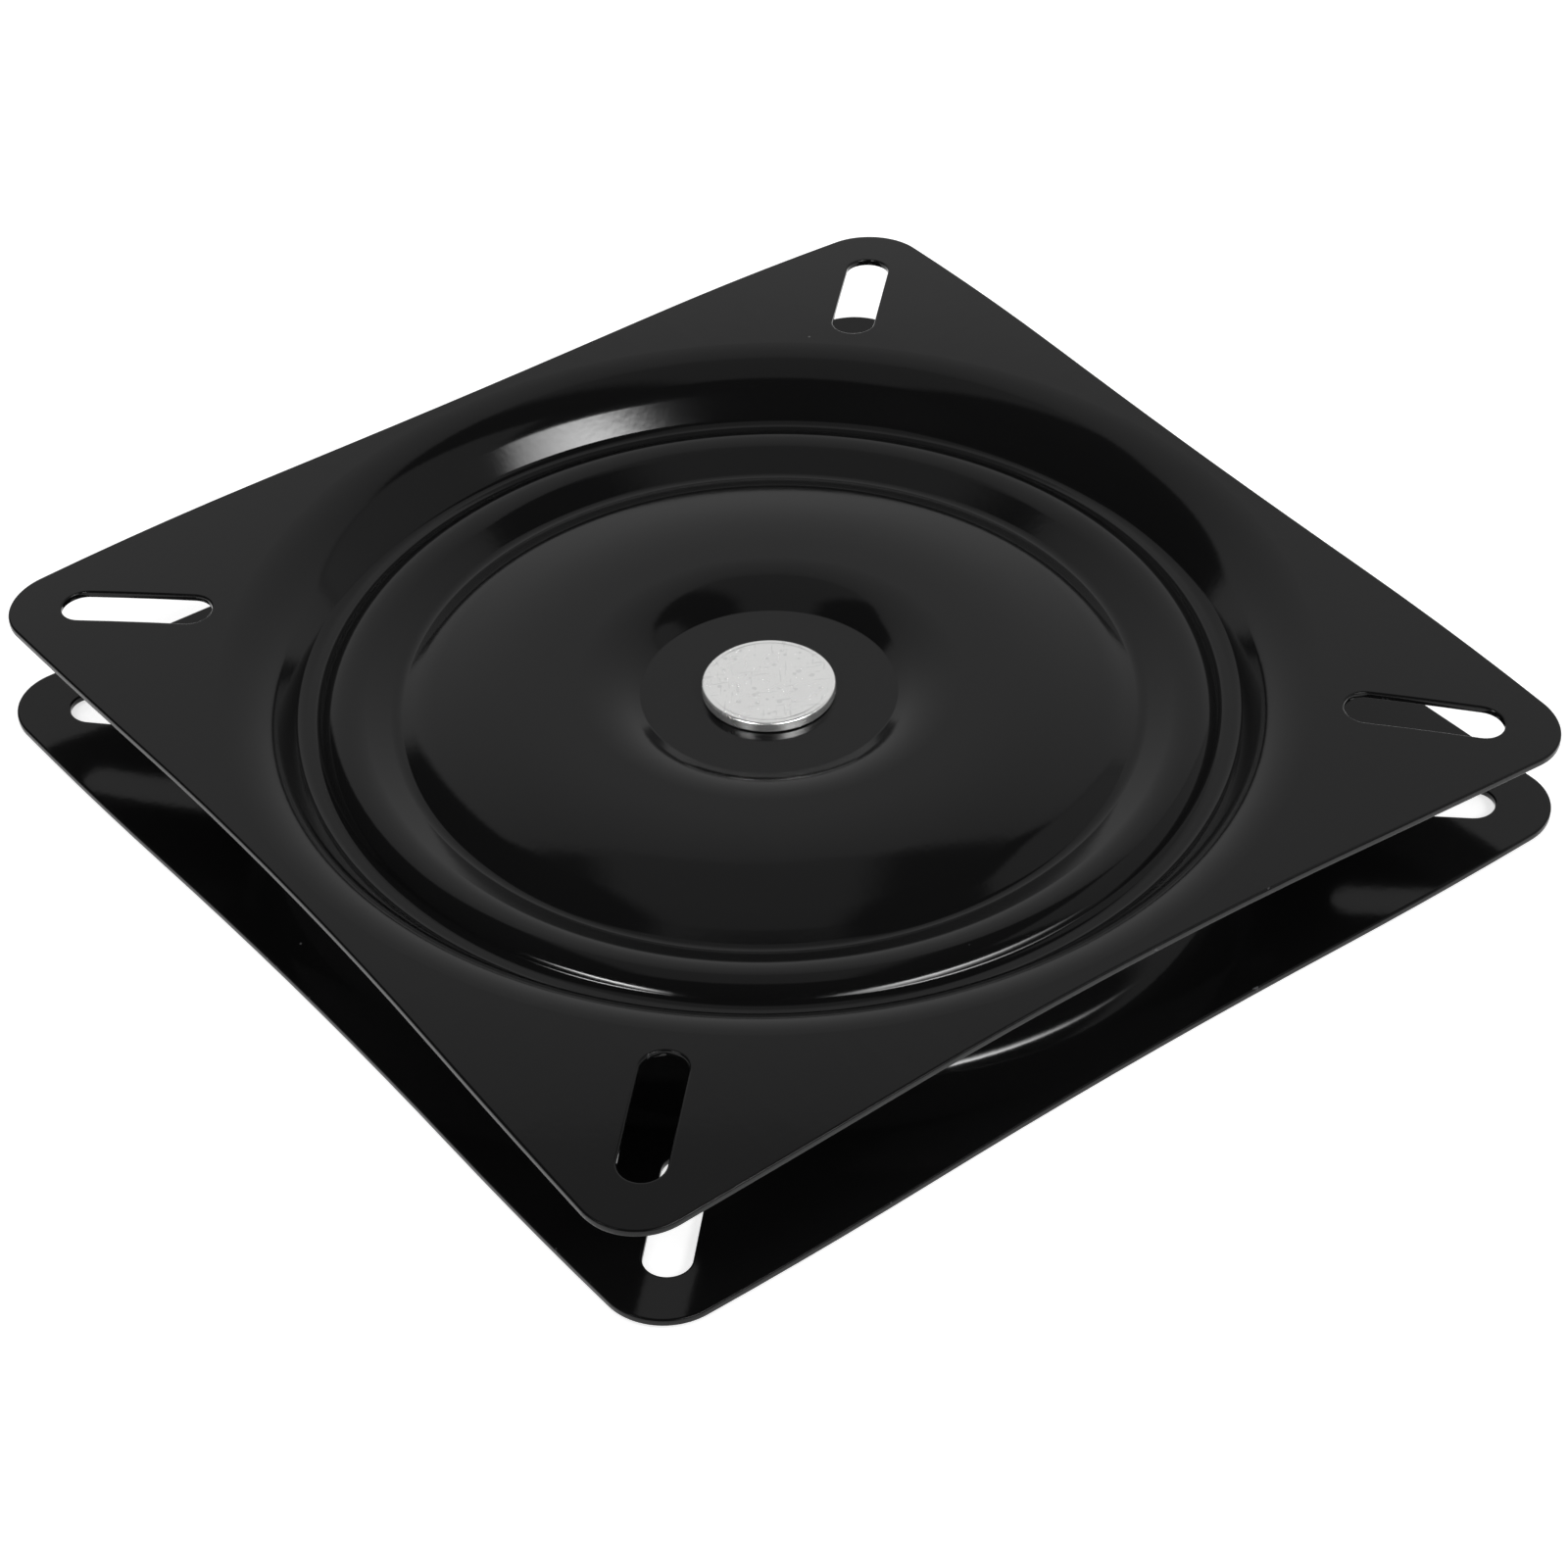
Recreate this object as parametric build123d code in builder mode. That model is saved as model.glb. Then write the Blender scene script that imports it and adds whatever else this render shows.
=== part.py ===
"""Seat swivel plate: two pressed square plates that turn on each other on a ring of balls, held by one rivet."""

import os
from math import atan, atan2, cos, degrees, pi, radians, remainder, sin, sqrt, tan

from build123d import *

# Square plates, in millimetres, with the share of the sheet that one rounded edge may take
PLATE_SIDE = 200.0
PLATE_T = 1.4
OVERALL_H = 24.0
CORNER_R = 11.0
SIDE_DRAW_IN = 1.7
EDGE_R = 0.35
EDGE_SHARE = 0.45

# Angle by which the top plate stands turned at rest, in degrees
REST_TURN = -1.5

# Diagonal slots, the same in both plates, with the distance from each side to a slot's centre
SLOT_INSET = 19.75
SLOT_L = 27.5
SLOT_W = 8.0

# Dish of the top plate from its mouth inwards, with depths below the mounting face
FLANGE_MARGIN = 4.5
ROLL_R = 12.7
WALL_ANGLE = 52.0
GUTTER_DEPTH = 9.3
GUTTER_W = 3.1
RIDGE_DEPTH = 6.4
RIDGE_OUTER_ANGLE = 50.0
RIDGE_OUTER_R = 5.9
RIDGE_INNER_ANGLE = 25.5
RIDGE_INNER_R = 7.8
GROOVE_DEPTH = 9.6
GROOVE_R = 2.4
DOME_FLANK_ANGLE = 26.0
DOME_FLANK_RISE = 2.4
SHOULDER_R = 20.0
DOME_R = 70.0
CREST_DEPTH = 4.0
CREST_R = 14.0
PAD_WALL_ANGLE = 18.0
PAD_DEPTH = 7.6
PAD_R = 23.5
BEND_R = 2.3

# Rise of the bottom plate under the dish
NEST_GAP = 1.4
RIM_W = 2.2
RIM_R = 2.2
TRACK_W = 5.0
TRACK_R = 4.0
TRACK_LIP_W = 2.6
CONE_INSET = 3.5
CONE_ANGLE = 27.0

# Balls and their cage, with the race's distance inside the ridge's crest
BALL_D = 6.35
BALL_COUNT = 24
BALL_PLAY = 0.1
RACE_INSET = 1.2
CAGE_W = 8.0
CAGE_T = 1.8
POCKET_CLEARANCE = 0.15

# Pivot rivet and its washers
SHANK_R = 5.0
HEAD_R = 11.75
HEAD_T = 2.0
HEAD_EDGE_R = 0.4
TAIL_R = 8.5
TAIL_H = 2.4
TAIL_CROWN = 0.6
PIVOT_CLEARANCE = 0.08
RIVET_CLEARANCE = 0.05
TURN_PLAY = 0.1
THRUST_WASHER_R = 20.0
THRUST_WASHER_T = 1.8
TAIL_WASHER_R = 13.0
TAIL_WASHER_T = 1.5

# Share of a straight run that its two bends may use together
BEND_SHARE = 0.98


def fitted_radii(points, radii):
    """Bend radii of a path, each limited to what the straight runs beside it leave."""
    runs = list(zip(points, points[1:]))
    lengths = [sqrt((b[0] - a[0]) ** 2 + (b[1] - a[1]) ** 2) for a, b in runs]
    headings = [atan2(b[1] - a[1], b[0] - a[0]) for a, b in runs]
    tangents = [0.0]
    for radius, before, after in zip(radii, headings, headings[1:]):
        tangents.append(radius * tan(abs(remainder(after - before, 2 * pi)) / 2))
    tangents.append(0.0)
    scales = []
    for length, start, end in zip(lengths, tangents, tangents[1:]):
        scales.append(min(1.0, BEND_SHARE * length / (start + end)))
    return [radius * min(pair) for radius, pair in zip(radii, zip(scales, scales[1:]))]


def run_of(height, angle):
    """Level distance over which a flank of this angle climbs this height."""
    return height / tan(radians(angle))


def plate_outline():
    """Square with rounded corners, each side curving gently inwards to its middle."""
    half_span = PLATE_SIDE / 2 - CORNER_R
    turn = 2 * atan(SIDE_DRAW_IN / half_span)
    side_r = half_span / 2 / sin(turn)
    turn = degrees(turn)
    start, heading = (-half_span, -PLATE_SIDE / 2), (1, 0)
    for _ in range(4):
        for radius, angle in ((side_r, turn), (side_r, -2 * turn), (side_r, turn), (CORNER_R, 90)):
            arc = JernArc(start=start, tangent=heading, radius=radius, arc_size=angle)
            start, heading = arc @ 1, arc % 1


def flange_edges(plate):
    """All the edges of a flange but the upright ones."""
    return plate.edges().filter_by(Axis.Z, reverse=True)


# Shared radii and heights
mouth_r = PLATE_SIDE / 2 - FLANGE_MARGIN
slot_r = (PLATE_SIDE / 2 - SLOT_INSET) * sqrt(2)
edge_r = min(EDGE_R, EDGE_SHARE * PLATE_T)
shank_hole_r = SHANK_R + RIVET_CLEARANCE

# Corners of the top plate's section along its upper face, from the mouth to the rivet
roll_corner_r = mouth_r - ROLL_R * tan(radians(WALL_ANGLE / 2))
gutter_outer_r = roll_corner_r - run_of(GUTTER_DEPTH, WALL_ANGLE)
gutter_inner_r = gutter_outer_r - GUTTER_W
ridge_outer_r = gutter_inner_r - run_of(GUTTER_DEPTH - RIDGE_DEPTH, RIDGE_OUTER_ANGLE)
ridge_crest_r = ridge_outer_r - RIDGE_OUTER_R * tan(radians(RIDGE_OUTER_ANGLE / 2))
ridge_inner_r = ridge_crest_r - RIDGE_INNER_R * tan(radians(RIDGE_INNER_ANGLE / 2))
groove_r = ridge_inner_r - run_of(GROOVE_DEPTH - RIDGE_DEPTH, RIDGE_INNER_ANGLE)
shoulder_r = groove_r - run_of(DOME_FLANK_RISE, DOME_FLANK_ANGLE)
crest_r = PAD_R + run_of(PAD_DEPTH - CREST_DEPTH, PAD_WALL_ANGLE)
crown_r = (shoulder_r + crest_r) / 2
top_path = [
    (mouth_r, OVERALL_H),
    (roll_corner_r, OVERALL_H),
    (gutter_outer_r, OVERALL_H - GUTTER_DEPTH),
    (gutter_inner_r, OVERALL_H - GUTTER_DEPTH),
    (ridge_outer_r, OVERALL_H - RIDGE_DEPTH),
    (ridge_inner_r, OVERALL_H - RIDGE_DEPTH),
    (groove_r, OVERALL_H - GROOVE_DEPTH),
    (shoulder_r, OVERALL_H - GROOVE_DEPTH + DOME_FLANK_RISE),
    (crown_r, OVERALL_H - CREST_DEPTH),
    (crest_r, OVERALL_H - CREST_DEPTH),
    (PAD_R, OVERALL_H - PAD_DEPTH),
    (SHANK_R + PIVOT_CLEARANCE, OVERALL_H - PAD_DEPTH),
]
top_bends = fitted_radii(
    top_path,
    [
        ROLL_R,
        BEND_R,
        BEND_R,
        RIDGE_OUTER_R,
        RIDGE_INNER_R,
        GROOVE_R,
        SHOULDER_R,
        DOME_R,
        CREST_R,
        BEND_R,
    ],
)

# Balls seat under the inner curve of the ridge
race_r = ridge_crest_r - RACE_INSET
roof_r = top_bends[4] - PLATE_T
roof_centre_z = OVERALL_H - RIDGE_DEPTH - top_bends[4]
ball_reach = roof_r - BALL_D / 2 - BALL_PLAY
ball_z = roof_centre_z + sqrt(ball_reach**2 - RACE_INSET**2)

# Corners of the bottom plate's section along its upper face, from the mouth to the rivet
rim_z = OVERALL_H - GUTTER_DEPTH - PLATE_T - NEST_GAP
shelf_z = OVERALL_H - GROOVE_DEPTH - PLATE_T - NEST_GAP
track_z = ball_z - BALL_D / 2 - BALL_PLAY
seat_z = OVERALL_H - PAD_DEPTH - PLATE_T - TURN_PLAY - THRUST_WASHER_T
rise_corner_r = mouth_r - (ROLL_R - PLATE_T) * tan(radians(WALL_ANGLE / 2))
rim_outer_r = rise_corner_r - run_of(rim_z - PLATE_T, WALL_ANGLE)
track_inner_r = race_r - TRACK_W / 2
cone_r = shoulder_r - CONE_INSET
bottom_path = [
    (mouth_r, PLATE_T),
    (rise_corner_r, PLATE_T),
    (rim_outer_r, rim_z),
    (rim_outer_r - RIM_W, rim_z),
    (race_r + TRACK_W / 2, track_z),
    (track_inner_r, track_z),
    (track_inner_r - TRACK_LIP_W, shelf_z),
    (cone_r, shelf_z),
    (cone_r - run_of(seat_z - shelf_z, CONE_ANGLE), seat_z),
    (shank_hole_r, seat_z),
]
bottom_bends = fitted_radii(
    bottom_path,
    [ROLL_R - PLATE_T, RIM_R, RIM_R, TRACK_R, TRACK_R, RIM_R, RIM_R, RIM_R],
)

# Top plate: slotted square with the dish pressed down into it
top_plane = Plane.XY.offset(OVERALL_H - PLATE_T).rotated((0, 0, REST_TURN))
with BuildPart() as top_plate:
    with BuildSketch(top_plane) as top_blank:
        with BuildLine():
            plate_outline()
        make_face()
        with PolarLocations(slot_r, 4, start_angle=45):
            SlotOverall(SLOT_L, SLOT_W, mode=Mode.SUBTRACT)
    extrude(amount=PLATE_T)
    fillet(flange_edges(top_plate), edge_r)
    with BuildSketch(top_plane) as top_mouth:
        Circle(mouth_r)
    extrude(amount=PLATE_T, mode=Mode.SUBTRACT)
    with BuildSketch(Plane.XZ) as top_section:
        with BuildLine():
            FilletPolyline(*top_path, radius=top_bends)
            offset(amount=PLATE_T, side=Side.LEFT)
        make_face()
    revolve(axis=Axis.Z)

# Bottom plate: the same square, with its middle pressed up under the dish
with BuildPart() as bottom_plate:
    with BuildSketch(Plane.XY) as bottom_blank:
        with BuildLine():
            plate_outline()
        make_face()
        with PolarLocations(slot_r, 4, start_angle=45):
            SlotOverall(SLOT_L, SLOT_W, mode=Mode.SUBTRACT)
    extrude(amount=PLATE_T)
    fillet(flange_edges(bottom_plate), edge_r)
    with BuildSketch(Plane.XY) as bottom_mouth:
        Circle(mouth_r)
    extrude(amount=PLATE_T, mode=Mode.SUBTRACT)
    with BuildSketch(Plane.XZ) as bottom_section:
        with BuildLine():
            FilletPolyline(*bottom_path, radius=bottom_bends)
            offset(amount=PLATE_T, side=Side.LEFT)
        make_face()
    revolve(axis=Axis.Z)

# Pivot rivet: flat head in the sunk pad, and a tail peened over under the bottom plate
head_z = OVERALL_H - PAD_DEPTH + TURN_PLAY
tail_z = seat_z - PLATE_T - TAIL_WASHER_T
with BuildPart() as pivot_rivet:
    with BuildSketch(Plane.XY.offset(head_z)) as head_disc:
        Circle(HEAD_R)
    extrude(amount=HEAD_T)
    fillet(pivot_rivet.edges().sort_by(Axis.Z)[-1], HEAD_EDGE_R)
    with BuildSketch(Plane.XY.offset(tail_z)) as shank_disc:
        Circle(SHANK_R)
    extrude(amount=head_z - tail_z)
    with BuildSketch(Plane.XZ) as tail_section:
        with BuildLine():
            Polyline((TAIL_R, tail_z), (0, tail_z), (0, tail_z - TAIL_H))
            SagittaArc((0, tail_z - TAIL_H), (TAIL_R, tail_z), TAIL_CROWN)
        make_face()
    revolve(axis=Axis.Z)

# Washers: a slippery one between the two pads, and a steel one under the peened tail
with BuildPart() as thrust_washer:
    with BuildSketch(Plane.XY.offset(seat_z)) as thrust_ring:
        Circle(THRUST_WASHER_R)
        Circle(SHANK_R + PIVOT_CLEARANCE, mode=Mode.SUBTRACT)
    extrude(amount=THRUST_WASHER_T)

with BuildPart() as tail_washer:
    with BuildSketch(Plane.XY.offset(tail_z)) as tail_ring:
        Circle(TAIL_WASHER_R)
        Circle(shank_hole_r, mode=Mode.SUBTRACT)
    extrude(amount=TAIL_WASHER_T)

# Ball cage: moulded ring with a round pocket that grips each ball past its middle
with BuildPart() as ball_cage:
    with BuildSketch(Plane.XY.offset(ball_z - CAGE_T / 2)) as cage_ring:
        Circle(race_r + CAGE_W / 2)
        Circle(race_r - CAGE_W / 2, mode=Mode.SUBTRACT)
    extrude(amount=CAGE_T)
    with Locations((0, 0, ball_z)):
        with PolarLocations(race_r, BALL_COUNT):
            Sphere(BALL_D / 2 + POCKET_CLEARANCE, mode=Mode.SUBTRACT)

# Parts list
os.makedirs("parts", exist_ok=True)
pieces = {
    "top_plate": top_plate,
    "bottom_plate": bottom_plate,
    "pivot_rivet": pivot_rivet,
    "thrust_washer": thrust_washer,
    "tail_washer": tail_washer,
    "ball_cage": ball_cage,
}

# Balls, one in each pocket of the cage
for number in range(BALL_COUNT):
    angle = 2 * pi * number / BALL_COUNT
    with BuildPart() as ball:
        with Locations((race_r * cos(angle), race_r * sin(angle), ball_z)):
            Sphere(BALL_D / 2)
    pieces[f"ball_{number + 1:02d}"] = ball

for name, piece in pieces.items():
    piece.part.label = name
    export_step(piece.part, f"parts/{name}.step")
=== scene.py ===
"""Looks of a seat swivel plate: two gloss black plates on a ring of balls, held by one bright rivet."""

import logging
import math
from dataclasses import dataclass, field
from enum import Enum

import bmesh
import bpy
from mathutils import Matrix, Vector


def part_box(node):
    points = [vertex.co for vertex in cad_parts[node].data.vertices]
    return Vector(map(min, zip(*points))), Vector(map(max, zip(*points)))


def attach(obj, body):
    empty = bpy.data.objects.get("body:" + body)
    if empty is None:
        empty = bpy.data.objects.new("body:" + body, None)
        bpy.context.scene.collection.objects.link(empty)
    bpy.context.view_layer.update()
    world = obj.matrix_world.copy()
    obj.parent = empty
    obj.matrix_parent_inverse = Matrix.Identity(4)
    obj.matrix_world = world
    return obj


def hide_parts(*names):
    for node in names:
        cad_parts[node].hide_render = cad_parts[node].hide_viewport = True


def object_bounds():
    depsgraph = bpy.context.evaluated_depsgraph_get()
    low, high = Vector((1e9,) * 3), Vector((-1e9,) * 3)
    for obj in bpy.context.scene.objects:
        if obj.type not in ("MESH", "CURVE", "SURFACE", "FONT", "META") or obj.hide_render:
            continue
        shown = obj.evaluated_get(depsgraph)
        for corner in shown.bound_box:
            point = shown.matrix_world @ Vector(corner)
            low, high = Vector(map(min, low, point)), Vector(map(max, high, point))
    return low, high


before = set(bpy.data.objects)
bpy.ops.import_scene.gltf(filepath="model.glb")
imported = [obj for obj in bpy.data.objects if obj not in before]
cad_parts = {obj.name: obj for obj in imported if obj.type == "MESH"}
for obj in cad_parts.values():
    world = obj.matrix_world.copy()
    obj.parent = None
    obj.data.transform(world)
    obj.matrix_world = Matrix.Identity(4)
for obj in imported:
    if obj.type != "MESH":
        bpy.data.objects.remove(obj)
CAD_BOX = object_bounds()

log = logging.getLogger("swivel_plate")

MM = 0.001
REST_TURN = -1.5
UPPER_SAG = 2.5 * MM
LOWER_SAG = -0.8 * MM
UP = Vector((0.0, 0.0, 1.0))
RGB = tuple[float, float, float]
Wire = list[bmesh.types.BMVert | bmesh.types.BMEdge]


class Slot(Enum):
    """Names of two material slots of the record; nothing in this script uses them."""

    PAINT = "black_paint"
    RIVET = "zinc_rivet"


class Body(Enum):
    """Bodies that turn on each other."""

    BOTTOM = "bottom"
    TOP = "top"


@dataclass
class WirePen:
    """Draws a wire of straight runs and arcs from a tip vertex.

    Attributes:
        bm: Mesh that the wire is drawn in.
        tip: Vertex where the wire ends so far.
        axis: Direction that every arc turns about.
        arc_step: Widest angle that one edge of an arc spans, in degrees.
    """

    bm: bmesh.types.BMesh
    tip: bmesh.types.BMVert
    axis: Vector
    arc_step: float = 4.0

    def line_to(self, point: Vector) -> None:
        """Draws a straight run to a point."""
        made = bmesh.ops.extrude_vert_indiv(self.bm, verts=[self.tip])
        self.tip = made["verts"][0]
        self.tip.co = point

    def arc(self, centre: Vector, angle: float) -> None:
        """Draws an arc about a centre.

        Args:
            centre: Point that the arc turns about.
            angle: Signed angle about the pen's axis, in radians.
        """
        steps = max(2, math.ceil(math.degrees(abs(angle)) / self.arc_step))
        made = bmesh.ops.spin(
            self.bm, geom=[self.tip], cent=centre, axis=self.axis, angle=angle, steps=steps
        )
        self.tip = next(v for v in made["geom_last"] if isinstance(v, bmesh.types.BMVert))

    def bend(self, before: Vector, corner: Vector, after: Vector, radius: float) -> None:
        """Draws a run towards a corner and the tangent arc that rounds it.

        Args:
            before: Corner before this one.
            corner: Corner to round.
            after: Corner after this one.
            radius: Radius of the arc.
        """
        heading = (corner - before).normalized()
        leaving = (after - corner).normalized()
        turn = math.atan2(self.axis.dot(heading.cross(leaving)), heading.dot(leaving))
        start = corner - heading * radius * math.tan(abs(turn) / 2)
        self.line_to(start)
        self.arc(start + self.axis.cross(heading) * math.copysign(radius, turn), turn)


@dataclass(frozen=True)
class Corner:
    """Corner of a section: distance from the axis, height, and radius of its bend."""

    r: float
    z: float
    bend: float = 0.0

    @property
    def point(self) -> Vector:
        """Place of the corner in the section's plane."""
        return Vector((self.r, 0.0, self.z))


def fit_bends(corners: list[Corner], share: float = 0.98) -> list[Corner]:
    """Limits each bend to what the straight runs beside it leave.

    Args:
        corners: Corners of a section, in order.
        share: Share of a run that its two bends may use together.

    Returns:
        The same corners with their fitted bends.
    """
    points = [c.point for c in corners]
    runs = [b - a for a, b in zip(points, points[1:])]
    reach = [0.0]
    for corner, run, following in zip(corners[1:], runs, runs[1:]):
        reach.append(corner.bend * math.tan(run.angle(following) / 2))
    reach.append(0.0)
    scale = [1.0]
    for run, start, end in zip(runs, reach, reach[1:]):
        scale.append(min(1.0, share * run.length / max(start + end, MM)))
    scale.append(1.0)
    return [
        Corner(c.r, c.z, c.bend * min(pair)) for c, pair in zip(corners, zip(scale, scale[1:]))
    ]


def draw_section(bm: bmesh.types.BMesh, corners: list[Corner]) -> Wire:
    """Draws a section's rounded line in the XZ plane.

    Args:
        bm: Mesh to draw in.
        corners: Corners of the section, in order.

    Returns:
        The vertices and edges of the line.
    """
    drawn = {*bm.verts, *bm.edges}
    pen = WirePen(bm, bm.verts.new(corners[0].point), axis=Vector((0.0, 1.0, 0.0)))
    for before, corner, after in zip(corners, corners[1:], corners[2:]):
        if corner.bend > 0.0:
            pen.bend(before.point, corner.point, after.point, corner.bend)
        else:
            pen.line_to(corner.point)
    pen.line_to(corners[-1].point)
    return [item for item in (*bm.verts, *bm.edges) if item not in drawn]


def spin_section(bm: bmesh.types.BMesh, corners: list[Corner], steps: int) -> None:
    """Draws a section with fitted bends and turns it once round the upright axis."""
    bmesh.ops.spin(
        bm,
        geom=draw_section(bm, fit_bends(corners)),
        cent=(0.0, 0.0, 0.0),
        axis=UP,
        angle=2 * math.pi,
        steps=steps,
        use_merge=True,
    )


def run_of(height: float, angle: float) -> float:
    """Level distance over which a flank of this angle, in degrees, climbs this height."""
    return height / math.tan(math.radians(angle))


def finish_mesh(bm: bmesh.types.BMesh, name: str) -> bpy.types.Object:
    """Makes a smooth shaded object of a finished mesh.

    Args:
        bm: Finished mesh, which is freed.
        name: Name of the piece.

    Returns:
        The object, at the origin.
    """
    mesh = bpy.data.meshes.new(name)
    for face in bm.faces:
        face.smooth = True
    bm.to_mesh(mesh)
    bm.free()
    piece = bpy.data.objects.new(name, mesh)
    bpy.context.scene.collection.objects.link(piece)
    weighted = piece.modifiers.new("even_normals", "WEIGHTED_NORMAL")
    weighted.keep_sharp = True
    return piece


class Graph:
    """Adds nodes to a node tree and links them."""

    def __init__(self, tree: bpy.types.NodeTree) -> None:
        """Keeps the tree and empties it."""
        self.tree = tree
        tree.nodes.clear()

    def add(self, kind: str, **settings: object) -> bpy.types.Node:
        """Adds a node.

        Args:
            kind: Type name of the node.
            settings: Properties of the node by name.

        Returns:
            The new node.
        """
        node = self.tree.nodes.new(kind)
        for name, value in settings.items():
            setattr(node, name, value)
        return node

    def feed(self, node: bpy.types.Node, **inputs: object) -> bpy.types.Node:
        """Sets or links a node's inputs.

        Args:
            node: Node to feed.
            inputs: A value or an output socket for each input, with _ for a space in its name, or with
                _ and its number.

        Returns:
            The same node.
        """
        for name, value in inputs.items():
            key = int(name[1:]) if name[1:].isdigit() else name.replace("_", " ")
            socket = node.inputs[key]
            if isinstance(value, bpy.types.NodeSocket):
                self.tree.links.new(value, socket)
            else:
                socket.default_value = value
        return node

    def math(self, operation: str, *values: object) -> bpy.types.NodeSocket:
        """Adds a Math node and returns its result."""
        node = self.add("ShaderNodeMath", operation=operation)
        self.feed(node, **{f"_{n}": value for n, value in enumerate(values)})
        return node.outputs[0]

    def ramp(self, value: bpy.types.NodeSocket, low: float, high: float) -> bpy.types.NodeSocket:
        """Adds a smooth step from 0 at low to 1 at high and returns its result."""
        node = self.add("ShaderNodeMapRange", interpolation_type="SMOOTHSTEP")
        self.feed(node, Value=value, From_Min=low, From_Max=high)
        return node.outputs["Result"]

    def mix(self, share: object, first: object, second: object) -> bpy.types.NodeSocket:
        """Adds a colour mix and returns its result."""
        node = self.add("ShaderNodeMix", data_type="RGBA")
        self.feed(node, _0=share, _6=first, _7=second)
        return node.outputs[2]


def rgba(colour: RGB) -> tuple[float, float, float, float]:
    """Colour with full alpha."""
    return (*colour, 1.0)


class Effect(Enum):
    """Surface effects that several finishes share."""

    SPECKS = "specks"
    CLOUDS = "clouds"
    HAIRLINES = "hairlines"


class Effects:
    """Node groups of the shared effects, each built once."""

    scuff_turns: tuple[float, float] = (0.5, 2.2)

    def __init__(self) -> None:
        """Builds every group."""
        self.groups = {
            Effect.SPECKS: self.specks(),
            Effect.CLOUDS: self.clouds(),
            Effect.HAIRLINES: self.hairlines(),
        }

    @staticmethod
    def start(name: str, inputs: dict[str, float]) -> tuple[Graph, bpy.types.Node, bpy.types.Node]:
        """Makes an empty group that reads a vector and puts out a mask.

        Args:
            name: Name of the group.
            inputs: Number inputs with their starting values.

        Returns:
            The group's graph, its input node and its output node.
        """
        tree = bpy.data.node_groups.new(name, "ShaderNodeTree")
        tree.interface.new_socket("Vector", in_out="INPUT", socket_type="NodeSocketVector")
        for label, value in inputs.items():
            socket = tree.interface.new_socket(label, in_out="INPUT", socket_type="NodeSocketFloat")
            socket.default_value = value
        tree.interface.new_socket("Mask", in_out="OUTPUT", socket_type="NodeSocketFloat")
        graph = Graph(tree)
        return graph, graph.add("NodeGroupInput"), graph.add("NodeGroupOutput")

    def specks(self) -> bpy.types.NodeTree:
        """Builds scattered small specks: one round spot in a few of the cells."""
        graph, given, out = self.start("specks", {"Scale": 300.0, "Share": 0.05, "Radius": 0.12})
        cells = graph.add("ShaderNodeTexVoronoi", feature="F1")
        graph.feed(cells, Vector=given.outputs["Vector"], Scale=given.outputs["Scale"])
        split = graph.add("ShaderNodeSeparateColor")
        graph.feed(split, Color=cells.outputs["Color"])
        chosen = graph.math("LESS_THAN", split.outputs[0], given.outputs["Share"])
        radius = graph.math("MULTIPLY", split.outputs[1], given.outputs["Radius"])
        spot = graph.math("LESS_THAN", cells.outputs["Distance"], radius)
        graph.feed(out, Mask=graph.math("MULTIPLY", chosen, spot))
        return graph.tree

    def clouds(self) -> bpy.types.NodeTree:
        """Builds soft cloudy patches."""
        inputs = {"Scale": 40.0, "Detail": 3.0, "Low": 0.3, "High": 0.7}
        graph, given, out = self.start("clouds", inputs)
        noise = graph.add("ShaderNodeTexNoise")
        graph.feed(noise, Vector=given.outputs["Vector"], Scale=given.outputs["Scale"])
        graph.feed(noise, Detail=given.outputs["Detail"])
        step = graph.add("ShaderNodeMapRange", interpolation_type="SMOOTHSTEP")
        graph.feed(step, Value=noise.outputs[0])
        graph.feed(step, From_Min=given.outputs["Low"], From_Max=given.outputs["High"])
        graph.feed(out, Mask=step.outputs["Result"])
        return graph.tree

    def hairlines(self) -> bpy.types.NodeTree:
        """Builds short fine scratches that run two ways."""
        graph, given, out = self.start("hairlines", {"Scale": 60.0, "Stretch": 18.0, "Level": 0.66})
        masks = []
        for turn in self.scuff_turns:
            mapping = graph.add("ShaderNodeMapping")
            graph.feed(mapping, Vector=given.outputs["Vector"], Rotation=(0.0, 0.0, turn))
            stretch = graph.add("ShaderNodeCombineXYZ")
            graph.feed(stretch, X=1.0, Y=given.outputs["Stretch"], Z=1.0)
            along = graph.add("ShaderNodeVectorMath", operation="MULTIPLY")
            graph.feed(along, _0=mapping.outputs[0], _1=stretch.outputs[0])
            noise = graph.add("ShaderNodeTexNoise")
            graph.feed(noise, Vector=along.outputs[0], Scale=given.outputs["Scale"], Detail=2.0)
            masks.append(graph.math("GREATER_THAN", noise.outputs[0], given.outputs["Level"]))
        graph.feed(out, Mask=graph.math("MAXIMUM", *masks))
        return graph.tree

    def place(
        self, graph: Graph, effect: Effect, vector: bpy.types.NodeSocket, **values: float
    ) -> bpy.types.NodeSocket:
        """Places a group in a material.

        Args:
            graph: The material's graph.
            effect: Effect to place.
            vector: Coordinates that it reads.
            values: Its own numbers by input name.

        Returns:
            The group's mask.
        """
        node = graph.add("ShaderNodeGroup", node_tree=self.groups[effect])
        graph.feed(node, Vector=vector, **values)
        return node.outputs["Mask"]


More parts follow.
